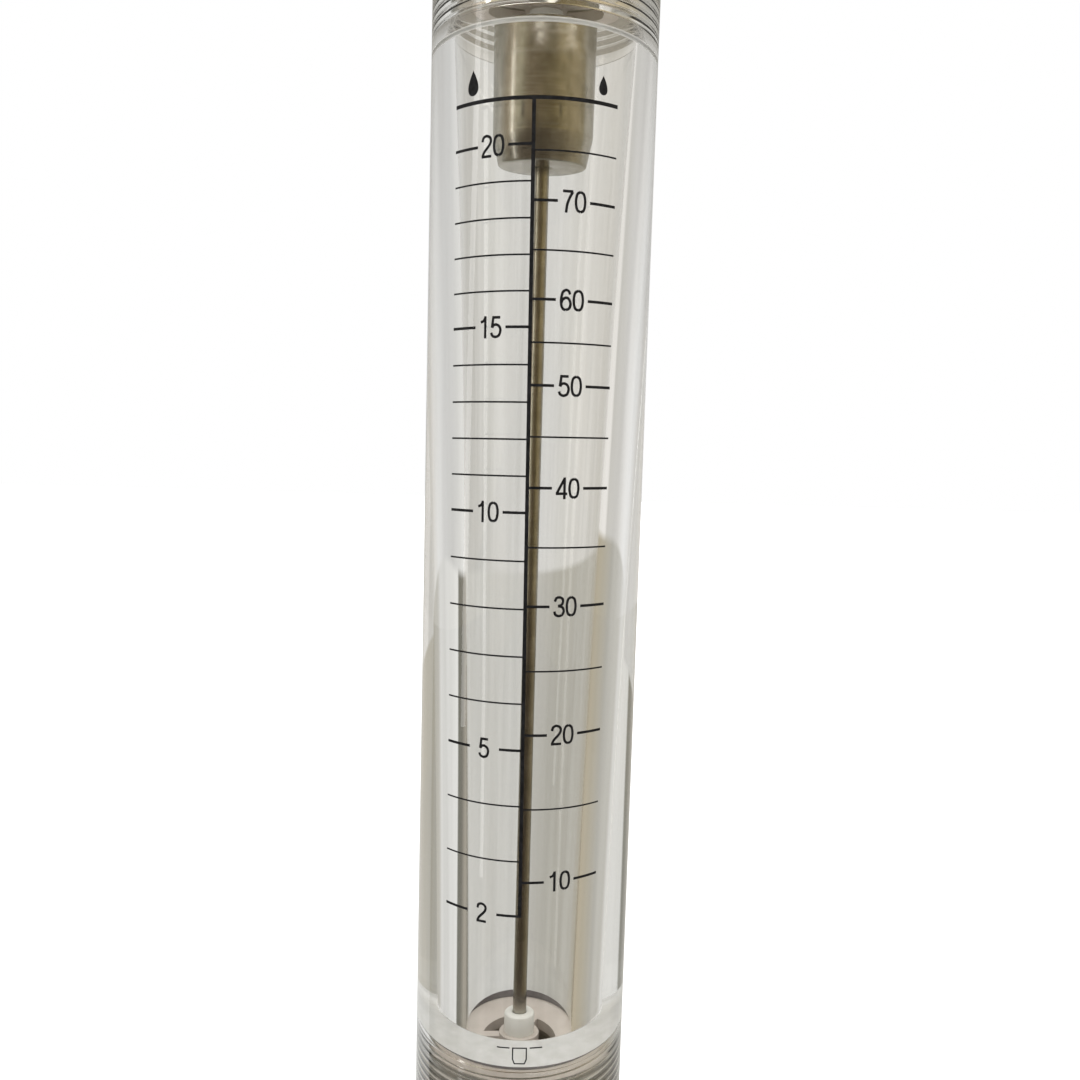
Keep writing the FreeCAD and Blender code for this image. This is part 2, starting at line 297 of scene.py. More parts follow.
def mixed(tree, share, first, second):
    """Two colours mixed by a share, each a constant or a source."""
    node = add(tree, "ShaderNodeMix", data_type="RGBA")
    tree.links.new(share, node.inputs["Factor"])
    for socket, colour in (("A", first), ("B", second)):
        if isinstance(colour, tuple):
            node.inputs[socket].default_value = (*colour, 1)
        else:
            tree.links.new(colour, node.inputs[socket])
    return node.outputs["Result"]


def calculated(tree, operation, *operands):
    """A math node's result from numbers and sources."""
    node = add(tree, "ShaderNodeMath", operation=operation)
    for socket, operand in zip(node.inputs, operands):
        if isinstance(operand, float):
            socket.default_value = operand
        else:
            tree.links.new(operand, socket)
    return node.outputs[0]


def bump(tree, shader, height, strength, distance):
    node = add(tree, "ShaderNodeBump")
    node.inputs["Strength"].default_value = strength
    node.inputs["Distance"].default_value = distance
    tree.links.new(height, node.inputs["Height"])
    tree.links.new(node.outputs["Normal"], shader.inputs["Normal"])


def let_light_through(tree, shader):
    """Shadow and diffuse rays pass straight through, so lamps reach what the clear tube encloses."""
    paths = add(tree, "ShaderNodeLightPath")
    either = calculated(tree, "MAXIMUM", paths.outputs["Is Shadow Ray"], paths.outputs["Is Diffuse Ray"])
    clear = add(tree, "ShaderNodeBsdfTransparent")
    clear.inputs["Color"].default_value = (0.95, 0.95, 0.95, 1)
    mix = add(tree, "ShaderNodeMixShader")
    tree.links.new(either, mix.inputs["Fac"])
    tree.links.new(shader.outputs["BSDF"], mix.inputs[1])
    tree.links.new(clear.outputs["BSDF"], mix.inputs[2])
    tree.links.new(mix.outputs["Shader"], tree.nodes["Material Output"].inputs["Surface"])


ACRYLIC_IOR = 1.49
STREAKS_ALONG = (1, 1, 0.006)
RINGS_AROUND = (0.15, 0.15, 7)
FINE_RELIEF = 0.00002
MOULDED_RELIEF = 0.00003


def acrylic(name, roughness, grain, stretch, strength, tints, clearness=1.0):
    """Clear cast acrylic with marks of that grain, and soft streaks along it between two tints."""
    material, tree, shader = new_material(name, IOR=ACRYLIC_IOR, Transmission_Weight=clearness)
    streaks = noise(tree, 0.28, detail=6, stretch=STREAKS_ALONG, rough=0.6)
    colour = ramp(tree, streaks, ((0.36, tints[0]), (0.62, tints[1])))
    tree.links.new(colour, shader.inputs["Base Color"])
    marks = noise(tree, grain, stretch=stretch)
    tree.links.new(remap(tree, marks, *roughness), shader.inputs["Roughness"])
    bump(tree, shader, marks, strength, FINE_RELIEF)
    let_light_through(tree, shader)
    return material


def steel(name, dark, light, roughness, strength, pits=0.0):
    """Turned stainless steel: fine rings round the axis over broad uneven tone, with patches of pits."""
    material, tree, shader = new_material(name, Metallic=1.0)
    rings = noise(tree, 1.0, detail=4, stretch=RINGS_AROUND)
    tone = noise(tree, 0.35, detail=5, stretch=(1, 1, 0.7))
    uneven = calculated(tree, "MULTIPLY_ADD", rings, 0.22, tone)
    colour = ramp(tree, uneven, ((0.40, dark), (0.82, light)))
    if pits:
        cells = add(tree, "ShaderNodeTexVoronoi", feature="F1")
        cells.inputs["Scale"].default_value = 0.7
        tree.links.new(place_texture(tree), cells.inputs["Vector"])
        specks = remap(tree, cells.outputs["Distance"], 1.0, 0.0, pits * 0.4, pits)
        patches = remap(tree, noise(tree, 0.08, detail=2), 0.0, 1.0, 0.52, 0.60)
        colour = mixed(tree, calculated(tree, "MULTIPLY", specks, patches), colour, PIT_TONE)
    tree.links.new(colour, shader.inputs["Base Color"])
    tree.links.new(remap(tree, rings, roughness, roughness + 0.10), shader.inputs["Roughness"])
    bump(tree, shader, rings, strength, FINE_RELIEF)
    return material


def plastic(name, dark, light, roughness, shaded_radii=None):
    """Moulded plastic in uneven tone. Between a root and a crest radius, a thread gets painted shade, darker
    towards its root.
    """
    material, tree, shader = new_material(name)
    tone = noise(tree, 0.12, detail=4)
    fine = noise(tree, 1.2, detail=4)
    colour = ramp(tree, tone, ((0.35, dark), (0.65, light)))
    # Painted shade: the thread darkens from its crest to its root, where shade falls between the flanks.
    if shaded_radii:
        from_axis = add(tree, "ShaderNodeVectorMath", operation="LENGTH")
        tree.links.new(place_texture(tree, (1, 1, 0)), from_axis.inputs[0])
        painted_root_shade = remap(tree, from_axis.outputs["Value"], 1.0, 0.0, *shaded_radii)
        colour = mixed(tree, painted_root_shade, colour, THREAD_ROOT_SHADE)
    tree.links.new(colour, shader.inputs["Base Color"])
    tree.links.new(remap(tree, fine, roughness, roughness + 0.15), shader.inputs["Roughness"])
    bump(tree, shader, fine, 0.25, MOULDED_RELIEF)
    return material


def printing_ink(name, dark, light):
    """Matt black ink with a slightly uneven tone."""
    material, tree, shader = new_material(name, Roughness=0.6, Specular_IOR_Level=0.15)
    tone = ramp(tree, noise(tree, 1.5, detail=4), ((0.35, dark), (0.7, light)))
    tree.links.new(tone, shader.inputs["Base Color"])
    return material


# Each finish lies between a darker and a lighter tone.
PIT_TONE = (0.11, 0.09, 0.06)
# Painted shade: the colour a thread takes at its root, between its flanks.
THREAD_ROOT_SHADE = (0.19, 0.18, 0.155)
CLEAR_TINTS = ((0.84, 0.837, 0.82), (0.96, 0.957, 0.945))
CLOUDY_TINTS = ((0.84, 0.82, 0.78), (0.94, 0.92, 0.88))
TURNED_TINTS = ((0.74, 0.725, 0.67), (0.84, 0.83, 0.78))
POLISHED = acrylic("acrylic_polished", (0.0, 0.02), 0.15, (1, 1, 0.3), 0.02, CLEAR_TINTS)
BORED = acrylic("acrylic_bored", (0.0, 0.012), 0.6, (1, 1, 0.01), 0.05, CLEAR_TINTS)
THREADED = acrylic("acrylic_threaded", (0.02, 0.10), 0.5, (1, 1, 1), 0.02, CLOUDY_TINTS)
TURNED = acrylic("acrylic_turned", (0.14, 0.22), 0.9, (0.12, 0.12, 6), 0.06, TURNED_TINTS, 0.35)
ADAPTER_TONES = ((0.40, 0.375, 0.32), (0.50, 0.47, 0.41))
ADAPTER = plastic("adapter_plastic", *ADAPTER_TONES, 0.38)
# The spigot's thread has painted shade in its roots.
SHADED_SPIGOT_THREAD = plastic("adapter_thread_painted_shade", *ADAPTER_TONES, 0.38, shaded_radii=(SPIGOT_ROOT, SPIGOT_CREST))
HOLDER = plastic("holder_plastic", (0.54, 0.48, 0.42), (0.63, 0.575, 0.51), 0.45)
BUSH = plastic("bush_plastic", (0.76, 0.75, 0.68), (0.84, 0.83, 0.77), 0.35)
SILICONE = plastic("seal_silicone", (0.15, 0.14, 0.14), (0.20, 0.19, 0.19), 0.50)
RUBBER = plastic("seal_rubber", (0.012, 0.012, 0.012), (0.03, 0.03, 0.03), 0.55)
FLOAT_STEEL = steel("float_steel", (0.36, 0.345, 0.30), (0.52, 0.50, 0.445), 0.17, 0.012, 0.13)
ROD_STEEL = steel("rod_steel", (0.30, 0.285, 0.24), (0.44, 0.42, 0.37), 0.14, 0.02)
INK = printing_ink("print_ink", (0.006, 0.006, 0.007), (0.02, 0.02, 0.022))


# ---------------------------------------------------------------- the clear tube

def tube_section(angle):
    """Outline of the tube's wall at one angle: outside, upper socket, bore, lower socket."""
    outside = softened(
        (
            (SEAL_SEAT_RADIUS, TUBE_FOOT + SEAL_SEAT_DEPTH, 0.2),
            (SEAL_SEAT_RADIUS, TUBE_FOOT, 0.2),
            (GLASS_RADIUS, TUBE_FOOT, 0.7),
            (GLASS_RADIUS, TUBE_HEAD, 0.7),
            (SEAL_SEAT_RADIUS, TUBE_HEAD, 0.2),
            (SEAL_SEAT_RADIUS, TUBE_HEAD - SEAL_SEAT_DEPTH, 0.2),
        ),
        before=(SOCKET_ROOT, TUBE_FOOT + SEAL_SEAT_DEPTH),
        after=(SOCKET_ROOT, TUBE_HEAD - SEAL_SEAT_DEPTH),
    )
    upper_thread_foot = TAPER_TOP + UPPER_RELIEF
    lower_thread_head = CONE_FOOT - LOWER_RELIEF
    bore = softened(
        (
            (RELIEF_RADIUS, TAPER_TOP, 0.3),
            (TAPER_TOP_RADIUS, TAPER_TOP, 0.25),
            (TAPER_FOOT_RADIUS, TAPER_FOOT, 0.15),
            (RELIEF_RADIUS, CONE_FOOT, 0.3),
        ),
        before=(SOCKET_ROOT, upper_thread_foot),
        after=(SOCKET_ROOT, lower_thread_head),
    )
    cut = SOCKET_CREST, SOCKET_ROOT, THREAD_PITCH
    upper_thread = thread_rows(angle, upper_thread_foot, TUBE_HEAD - SEAL_SEAT_DEPTH, *cut)
    lower_thread = thread_rows(angle, TUBE_FOOT + SEAL_SEAT_DEPTH, lower_thread_head, *cut)
    return outside + upper_thread[::-1] + bore + lower_thread[::-1]


# The order in which the tube takes its finishes.
POLISHED_PART, BORED_PART, THREADED_PART, TURNED_PART = range(4)
SHOULDER_BAND = 0.3


def tube_finish(centre):
    """The finish of a face of the tube, by where the face's centre lies."""
    if math.hypot(centre.x, centre.y) > SEAL_SEAT_RADIUS - 0.3:
        return POLISHED_PART
    if abs(centre.z - TAPER_TOP) < SHOULDER_BAND:
        return TURNED_PART
    if TAPER_FOOT < centre.z < TAPER_TOP:
        return BORED_PART
    return TURNED_PART if CONE_FOOT <= centre.z <= TAPER_FOOT else THREADED_PART


tube = lathe("acrylic_tube", tube_section, THREADED_SEGMENTS)
paint(tube, POLISHED, BORED, THREADED, TURNED, choose=tube_finish)
dress(tube, HOUSING, "clear_acrylic", "metering_tube")


# ---------------------------------------------------------------- pipe adapters

def hexagon_radius(angle, half_flats, rounding):
    """Distance from the axis to a hexagon with rounded corners, flats facing the front."""
    offset = (angle + math.pi / 6) % (math.pi / 3) - math.pi / 6
    flat = half_flats / math.cos(offset)
    centre = (half_flats - rounding) / math.cos(math.pi / 6)
    swing = math.pi / 6 - abs(offset)
    beyond = rounding**2 - (centre * math.sin(swing)) ** 2
    if beyond <= 0:
        return flat
    return min(flat, centre * math.cos(swing) + math.sqrt(beyond))


def adapter_section(angle):
    """Outline of an adapter standing on its pipe end at height 0."""
    hexagon = hexagon_radius(angle, HALF_FLATS, COLLAR_ROUNDING)
    chamfer = COLLAR_CHAMFER_SLOPE * max(0.0, hexagon - (HALF_FLATS - 0.7))
    pipe_end = softened(
        (
            (FLOW_RADIUS, 0, 0.4),
            (PIPE_ROOT - 0.1, 0, 0.3),
            (PIPE_ROOT, PIPE_EDGE, 0.1),
        ),
        before=(FLOW_RADIUS, ADAPTER_NOSE - HOLDER_SEAT_END),
        after=(PIPE_ROOT, 2),
    )
    pipe = thread_rows(angle, PIPE_EDGE, COLLAR_FOOT - NECK_WIDTH, PIPE_CREST, PIPE_ROOT, PIPE_PITCH)
    collar = [
        (PIPE_ROOT, COLLAR_FOOT - 0.4),
        (PIPE_ROOT + 0.1, COLLAR_FOOT - 0.1),
        (PIPE_ROOT + 0.4, COLLAR_FOOT),
        (HALF_FLATS - 0.9, COLLAR_FOOT),
        (HALF_FLATS - 0.7, COLLAR_FOOT + 0.05),
        (hexagon - 0.12, COLLAR_FOOT + chamfer),
        (hexagon, COLLAR_FOOT + chamfer + 0.25),
        (hexagon, COLLAR_HEAD - chamfer - 0.25),
        (hexagon - 0.12, COLLAR_HEAD - chamfer),
        (HALF_FLATS - 0.7, COLLAR_HEAD - 0.05),
        (HALF_FLATS - 0.9, COLLAR_HEAD),
        (SPIGOT_ROOT + 0.2, COLLAR_HEAD),
        (SPIGOT_ROOT, COLLAR_HEAD + 0.2),
    ]
    spigot = thread_rows(
        angle, COLLAR_HEAD + 1.0, ADAPTER_NOSE - 1.0, SPIGOT_CREST, SPIGOT_ROOT, THREAD_PITCH
    )
    nose = softened(
        (
            (SPIGOT_ROOT, ADAPTER_NOSE, 0.5),
            (HOLDER_SEAT_RADIUS, ADAPTER_NOSE, 0.25),
            (HOLDER_SEAT_RADIUS, ADAPTER_NOSE - HOLDER_SEAT_DEPTH, 0.1),
            (FLOW_RADIUS, ADAPTER_NOSE - HOLDER_SEAT_END, 0.5),
        ),
        before=(SPIGOT_ROOT, ADAPTER_NOSE - 1),
        after=(FLOW_RADIUS, 0),
    )
    return pipe_end + pipe + collar + spigot + nose


MOULDED_PART, SPIGOT_PART = range(2)


def adapter_finish(centre):
    """The material of a face of an adapter: the spigot's thread, which lies inside the tube's reach, takes
    the one with painted shade towards its roots.
    """
    inside = TUBE_FOOT < centre.z < TUBE_HEAD
    r = math.hypot(centre.x, centre.y)
    threaded = inside and SPIGOT_ROOT - 0.05 < r < SPIGOT_CREST + 0.05
    return SPIGOT_PART if threaded else MOULDED_PART


for side, node in (("inlet", "inlet_adapter"), ("outlet", "outlet_adapter")):
    adapter = lathe(f"{side}_adapter_moulding", adapter_section, THREADED_SEGMENTS)
    if side == "outlet":
        flip = Matrix.Rotation(math.pi, 4, "X")
        flip.translation = (0, 0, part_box(node)[1].z)
        adapter.data.transform(flip)
    paint(adapter, ADAPTER, SHADED_SPIGOT_THREAD, choose=adapter_finish)
    dress(adapter, HOUSING, "adapter_plastic", node)


# ---------------------------------------------------------------- float, rod, seal and bush

ROUND_SEGMENTS = 128


def round_piece(name, corners, material, body, slot, node):
    """A plain turned piece in place of a CAD node."""
    outline = softened(corners)
    piece = lathe(name, lambda angle: outline, ROUND_SEGMENTS)
    paint(piece, material)
    dress(piece, body, slot, node)


round_piece(
    "turned_float",
    (
        (FLOAT_BORE + FLOAT_COUNTERSINK, FLOAT_FOOT, 0.1),
        (FLOAT_NOSE_RADIUS, FLOAT_FOOT, 0.5),
        (FLOAT_RADIUS, FLOAT_FOOT + FLOAT_NOSE_HEIGHT, 0.3),
        (FLOAT_RADIUS, FLOAT_HEAD, 0.5),
        (FLOAT_BORE + FLOAT_COUNTERSINK, FLOAT_HEAD, 0.1),
        (FLOAT_BORE, FLOAT_HEAD - FLOAT_COUNTERSINK, 0.1),
        (FLOAT_BORE, FLOAT_FOOT + FLOAT_COUNTERSINK, 0.1),
    ),
    FLOAT_STEEL,
    "float",
    "float_steel",
    "float",
)
round_piece(
    "drawn_rod",
    (
        (0, ROD_FOOT, 0),
        (ROD_RADIUS, ROD_FOOT, 0.35),
        (ROD_RADIUS, ROD_FOOT + CLIP_GROOVE_NEAR, 0),
        (CLIP_GROOVE_RADIUS, ROD_FOOT + CLIP_GROOVE_NEAR, 0),
        (CLIP_GROOVE_RADIUS, ROD_FOOT + CLIP_GROOVE_FAR, 0),
        (ROD_RADIUS, ROD_FOOT + CLIP_GROOVE_FAR, 0),
        (ROD_RADIUS, ROD_HEAD - CLIP_GROOVE_FAR, 0),
        (CLIP_GROOVE_RADIUS, ROD_HEAD - CLIP_GROOVE_FAR, 0),
        (CLIP_GROOVE_RADIUS, ROD_HEAD - CLIP_GROOVE_NEAR, 0),
        (ROD_RADIUS, ROD_HEAD - CLIP_GROOVE_NEAR, 0),
        (ROD_RADIUS, ROD_HEAD, 0.35),
        (0, ROD_HEAD, 0),
    ),
    ROD_STEEL,
    HOUSING,
    "rod_steel",
    "guide_rod",
)
# The ring keeps a hair clear of the tube's cone, which its top follows.
round_piece(
    "holder_seal_ring",
    (
        (HOLDER_SEAL_BORE + 0.05, HOLDER_SEAL_FOOT + 0.05, 0.15),
        (HOLDER_SEAL_RADIUS - 0.05, HOLDER_SEAL_FOOT + 0.05, 0.15),
        (HOLDER_SEAL_RADIUS - 0.05, HOLDER_SEAL_HEAD - 0.78, 0.2),
        (HOLDER_SEAL_BORE + 0.05, HOLDER_SEAL_HEAD - 0.11, 0.2),
    ),
    SILICONE,
    HOUSING,
    "seal_rubber",
    "lower_holder_seal",
)
round_piece(
    "lower_bush_turning",
    (
        (BUSH_BORE, BUSH_FOOT, 0.05),
        (SHANK_RADIUS, BUSH_FOOT, 0.1),
        (SHANK_RADIUS, HUB_TOP, 0.0),
        (BUSH_RADIUS, HUB_TOP, 0.1),
        (BUSH_RADIUS, BUSH_HEAD, 0.7),
        (BUSH_BORE, BUSH_HEAD, 0.2),
    ),
    BUSH,
    HOUSING,
    "bush_plastic",
    "lower_rod_bush",
)

# Pieces whose CAD form is already the one that shows only get their finish.
NODE_FINISH = {
    "lower_rod_holder": HOLDER,
    "upper_rod_holder": HOLDER,
    "upper_rod_bush": BUSH,
    "inlet_seal": RUBBER,
    "outlet_seal": RUBBER,
    "lower_rod_clip": ROD_STEEL,
    "upper_rod_clip": ROD_STEEL,
}
for node, material in NODE_FINISH.items():
    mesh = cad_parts[node].data
    mesh.materials.clear()
    mesh.materials.append(material)


# ---------------------------------------------------------------- printed scale

# The print is a flat sheet laid round the tube. Its heights are in mm above or below eye level.
EYE_LEVEL = 194.0
PRINT_HALF_WIDTH = 18.0
PRINT_TILT = math.radians(0.48)
PRINT_SHIFT = -1.36
LEFT_MARKS = {20: 58.7, 15: 22.9, 10: -14.85, 5: -65.3, 2: -101.95}
RIGHT_MARKS = {75: 57.5, 70: 47.85, 60: 28.45, 50: 11.25, 40: -9.65, 30: -34.4, 20: -61.95, 10: -94.4}
HEADER = 67.55
READING_EDGE = -132.1
HEAVY, MEDIUM, LIGHT = 0.78, 0.58, 0.36
DIGIT_HEIGHT = 4.5
NUMBER_PLACE = 8.5
INNER_DASH_END = 5.1
OUTER_DASH_START = 11.9
BAR_STEP = 0.8


def height_of(value, marks):
    """Height of a reading on a scale, straight between the marks that are given."""
    known = sorted(marks)
    for low, high in zip(known, known[1:]):
        if low <= value <= high:
            share = (value - low) / (high - low)
            return marks[low] + share * (marks[high] - marks[low])
    return marks[known[-1]]


def on_tube(across, height):
    """A point of the flat print laid round the tube, in metres."""
    u = PRINT_SHIFT + across * math.cos(PRINT_TILT) - height * math.sin(PRINT_TILT)
    v = EYE_LEVEL + height * math.cos(PRINT_TILT) + across * math.sin(PRINT_TILT)
    angle = u / TUBE_RADIUS
    return Vector((TUBE_RADIUS * math.sin(angle), -TUBE_RADIUS * math.cos(angle), v)) * MM


def add_bar(ink, left, right, low, high):
    """A printed bar between those limits, curved round the tube."""
    steps = max(1, math.ceil((right - left) / BAR_STEP))
    edges = []
    for i in range(steps + 1):
        across = left + (right - left) * i / steps
        edges.append([ink.verts.new(on_tube(across, h)) for h in (low, high)])
    for (a, b), (d, c) in zip(edges, edges[1:]):
        ink.faces.new((a, d, c, b))


def add_line(ink, left, right, height, weight):
    add_bar(ink, left, right, height - weight / 2, height + weight / 2)


# Each digit is drawn with strokes on a cell 0.56 wide and 1 high: smooth curves and straight lines.
DIGIT_WIDTH = 0.56
DIGIT_GAP = 0.03
CURVE, STRAIGHT = True, False
STROKES = {
    "0": (
        (CURVE, ((0.28, 0.94), (0.12, 0.83), (0.06, 0.5), (0.12, 0.17), (0.28, 0.06))),
        (CURVE, ((0.28, 0.06), (0.44, 0.17), (0.50, 0.5), (0.44, 0.83), (0.28, 0.94))),
    ),
    "1": (
        (STRAIGHT, ((0.34, 0.0), (0.34, 1.0))),
        (CURVE, ((0.34, 0.95), (0.25, 0.79), (0.10, 0.73))),
    ),
    "2": (
        (
            CURVE,
            ((0.06, 0.70), (0.12, 0.88), (0.28, 0.94), (0.44, 0.87))
            + ((0.49, 0.71), (0.40, 0.52), (0.16, 0.26), (0.07, 0.07)),
        ),
        (STRAIGHT, ((0.02, 0.06), (0.52, 0.06))),
    ),
    "3": (
        (
            CURVE,
            ((0.07, 0.74), (0.13, 0.89), (0.27, 0.94), (0.42, 0.88))
            + ((0.46, 0.75), (0.40, 0.59), (0.22, 0.53)),
        ),
        (
            CURVE,
            ((0.22, 0.53), (0.43, 0.47), (0.50, 0.29), (0.43, 0.12))
            + ((0.27, 0.06), (0.11, 0.12), (0.05, 0.28)),
        ),
    ),
    "4": (
        (STRAIGHT, ((0.41, 0.0), (0.41, 1.0))),
        (STRAIGHT, ((0.40, 0.93), (0.06, 0.29), (0.06, 0.25), (0.55, 0.25))),
    ),
    "5": (
        (STRAIGHT, ((0.49, 0.93), (0.15, 0.93), (0.09, 0.47))),
        (
            CURVE,
            ((0.09, 0.47), (0.17, 0.58), (0.30, 0.61), (0.45, 0.52), (0.50, 0.34))
            + ((0.43, 0.13), (0.26, 0.06), (0.11, 0.12), (0.05, 0.25)),
        ),
    ),
    "6": (
        (
            CURVE,
            ((0.47, 0.75), (0.41, 0.89), (0.28, 0.94), (0.13, 0.83))
            + ((0.06, 0.52), (0.08, 0.25), (0.16, 0.10), (0.28, 0.06)),
        ),
        (
            CURVE,
            ((0.28, 0.06), (0.43, 0.13), (0.50, 0.32), (0.43, 0.53))
            + ((0.29, 0.60), (0.14, 0.52), (0.07, 0.36)),
        ),
    ),
    "7": (
        (STRAIGHT, ((0.04, 0.93), (0.52, 0.93))),
        (CURVE, ((0.50, 0.92), (0.36, 0.66), (0.25, 0.36), (0.20, 0.0))),
    ),
}
CURVE_STEPS = 5
STROKE_WEIGHT = 0.125


def smooth_path(points):
    """A Catmull-Rom curve through the points."""
    points = [Vector(p) for p in points]
    padded = [2 * points[0] - points[1], *points, 2 * points[-1] - points[-2]]
    path = [points[0]]
    for a, b, c, d in zip(padded, padded[1:], padded[2:], padded[3:]):
        slope = c - a
        bend = 2 * a - 5 * b + 4 * c - d
        twist = 3 * b - a - 3 * c + d
        for k in range(1, CURVE_STEPS + 1):
            t = k / CURVE_STEPS
            path.append(0.5 * (2 * b + slope * t + bend * t**2 + twist * t**3))
    return path


def add_stroke(ink, path, weight, spot):
    """Prints a line of that weight along a flat path. spot(point) is the place on the tube."""
    sides = []
    for i, here in enumerate(path):
        along_in = (here - path[i - 1]).normalized() if i else None
        along_out = (path[i + 1] - here).normalized() if i + 1 < len(path) else None
        first, second = along_in or along_out, along_out or along_in
        middle = (first + second).normalized()
        normal = Vector((-middle.y, middle.x))
        reach = weight / 2 / max(0.5, middle.dot(first))
        sides.append((ink.verts.new(spot(here + normal * reach)), ink.verts.new(spot(here - normal * reach))))
    for (a, b), (d, c) in zip(sides, sides[1:]):
        ink.faces.new((a, b, c, d))


def add_number(ink, value, across, height, tall):
    """Prints a number centred there, its digits that tall, in mm."""
    digits = str(value)
    advance = DIGIT_WIDTH + DIGIT_GAP
    left = -(advance * len(digits) - DIGIT_GAP) / 2
    for i, digit in enumerate(digits):
        shift = left + i * advance

        def spot(point):
            return on_tube(across + (shift + point.x) * tall, height + (point.y - 0.5) * tall)

        for form, points in STROKES[digit]:
            path = smooth_path(points) if form == CURVE else [Vector(p) for p in points]
            add_stroke(ink, path, STROKE_WEIGHT, spot)


def add_scale(ink, marks, side, numbered, step):
    """One side of the scale: side is -1 on the left and 1 on the right."""
    values = sorted(marks)
    value = values[0]
    while value <= values[-1]:
        height = height_of(value, marks)
        if value in numbered:
            inner = sorted((0.0, side * INNER_DASH_END))
            outer = sorted((side * OUTER_DASH_START, side * PRINT_HALF_WIDTH))
            add_line(ink, *inner, height, MEDIUM)
            add_line(ink, *outer, height, MEDIUM)
            add_number(ink, value, side * NUMBER_PLACE, height, DIGIT_HEIGHT)
        else:
            add_line(ink, *sorted((0.0, side * PRINT_HALF_WIDTH)), height, LIGHT)
        value += step


DROP_POINTS = 40


def add_drop(ink, across, height, tall):
    """A drop, the plain sign for an amount of fluid."""
    points = []
    for i in range(DROP_POINTS):
        turn = TURN * i / DROP_POINTS
        aside = 0.36 * tall * math.sin(turn) * math.sin(turn / 2) ** 1.3
        points.append(ink.verts.new(on_tube(across + aside, height + 0.5 * tall * math.cos(turn))))
    ink.faces.new(points)


def add_reading_sign(ink, across, height):
    """A small float in outline, with a dash on each side of its top edge, where the scale is read."""
    half, nose, tall = 1.5, 1.1, 3.6
    shoulder = -tall + 1
    corners = ((-nose, -tall), (nose, -tall), (half, shoulder), (half, 0), (-half, 0), (-half, shoulder))
    path = [Vector(corner) for corner in (*corners, corners[0], corners[1])]
    add_stroke(ink, path, 0.28, lambda point: on_tube(across + point.x, height + point.y))
    for side in (-1, 1):
        add_line(ink, *sorted((across + side * 2.2, across + side * 5.0)), height, 0.3)


ink = bmesh.new()
add_line(ink, -PRINT_HALF_WIDTH, PRINT_HALF_WIDTH, HEADER, HEAVY)
add_bar(ink, -HEAVY / 2, HEAVY / 2, LEFT_MARKS[2] - MEDIUM / 2, HEADER)
add_scale(ink, LEFT_MARKS, -1, (2, 5, 10, 15, 20), 1)
add_scale(ink, RIGHT_MARKS, 1, (10, 20, 30, 40, 50, 60, 70), 5)
add_drop(ink, -13.3, HEADER + 3.9, 5.0)
add_drop(ink, 14.3, HEADER + 3.5, 3.8)
add_reading_sign(ink, 0.5, READING_EDGE)
scale_print = finished("scale_print", ink)
paint(scale_print, INK)
dress(scale_print, HOUSING, "seal_rubber")


# ---------------------------------------------------------------- studio

FLOOR_TONE = 0.72
FLOOR_REACH = 3
PALE = (0.75, 0.75, 0.75)
WHITE = (1.0, 1.0, 1.0)

# Tones of the room round the object, by the share of a turn from behind it: a quarter is its left, a
# half its front. ABOVE is the room over the table's edge, and BELOW is the table.
ABOVE = (
    (0.000, (0.85, 0.85, 0.84)),
    (0.030, (0.83, 0.83, 0.82)),
    (0.060, (0.68, 0.68, 0.67)),
    (0.130, (0.66, 0.66, 0.65)),
    (0.190, (0.84, 0.84, 0.82)),
    (0.220, (0.60, 0.56, 0.50)),
    (0.275, (0.70, 0.58, 0.42)),
    (0.358, (0.80, 0.76, 0.58)),
    (0.395, (0.44, 0.36, 0.25)),
    (0.450, (0.26, 0.20, 0.12)),
    (0.560, (0.27, 0.21, 0.10)),
    (0.610, (0.54, 0.44, 0.24)),
    (0.700, (0.72, 0.60, 0.39)),
    (0.775, (0.50, 0.44, 0.31)),
    (0.800, (0.88, 0.86, 0.83)),
    (0.834, (0.88, 0.86, 0.83)),
    (0.842, (0.62, 0.61, 0.58)),
    (0.910, (0.67, 0.66, 0.64)),
    (0.940, (0.82, 0.81, 0.79)),
    (1.000, (0.85, 0.85, 0.84)),
)
BELOW = (
    (0.000, (0.68, 0.67, 0.64)),
    (0.012, (0.78, 0.78, 0.76)),
    (0.050, (0.74, 0.74, 0.72)),
    (0.156, (0.86, 0.86, 0.84)),
    (0.162, (0.17, 0.17, 0.14)),
    (0.186, (0.20, 0.19, 0.16)),
    (0.208, (0.40, 0.37, 0.31)),
    (0.333, (0.14, 0.11, 0.08)),
    (0.500, (0.10, 0.075, 0.05)),
    (0.667, (0.28, 0.23, 0.15)),
    (0.750, (0.50, 0.43, 0.31)),
    (0.820, (0.46, 0.42, 0.33)),
    (0.890, (0.46, 0.45, 0.41)),
    (0.915, (0.54, 0.53, 0.49)),
    (0.980, (0.56, 0.55, 0.51)),
    (1.000, (0.68, 0.67, 0.64)),
)
TABLE_NEAR = (0.46, 0.46, 0.43)
ROOM_HIGH = (0.34, 0.325, 0.29)
ROOM_FRONT = (0.78, 0.775, 0.75)

# The table's edge lies this far under the horizon, with a slight bow and lean and a soft line.
TABLE_EDGE = 0.163
TABLE_BOW = 0.039
TABLE_LEAN = 0.010
TABLE_SOFTNESS = 0.002


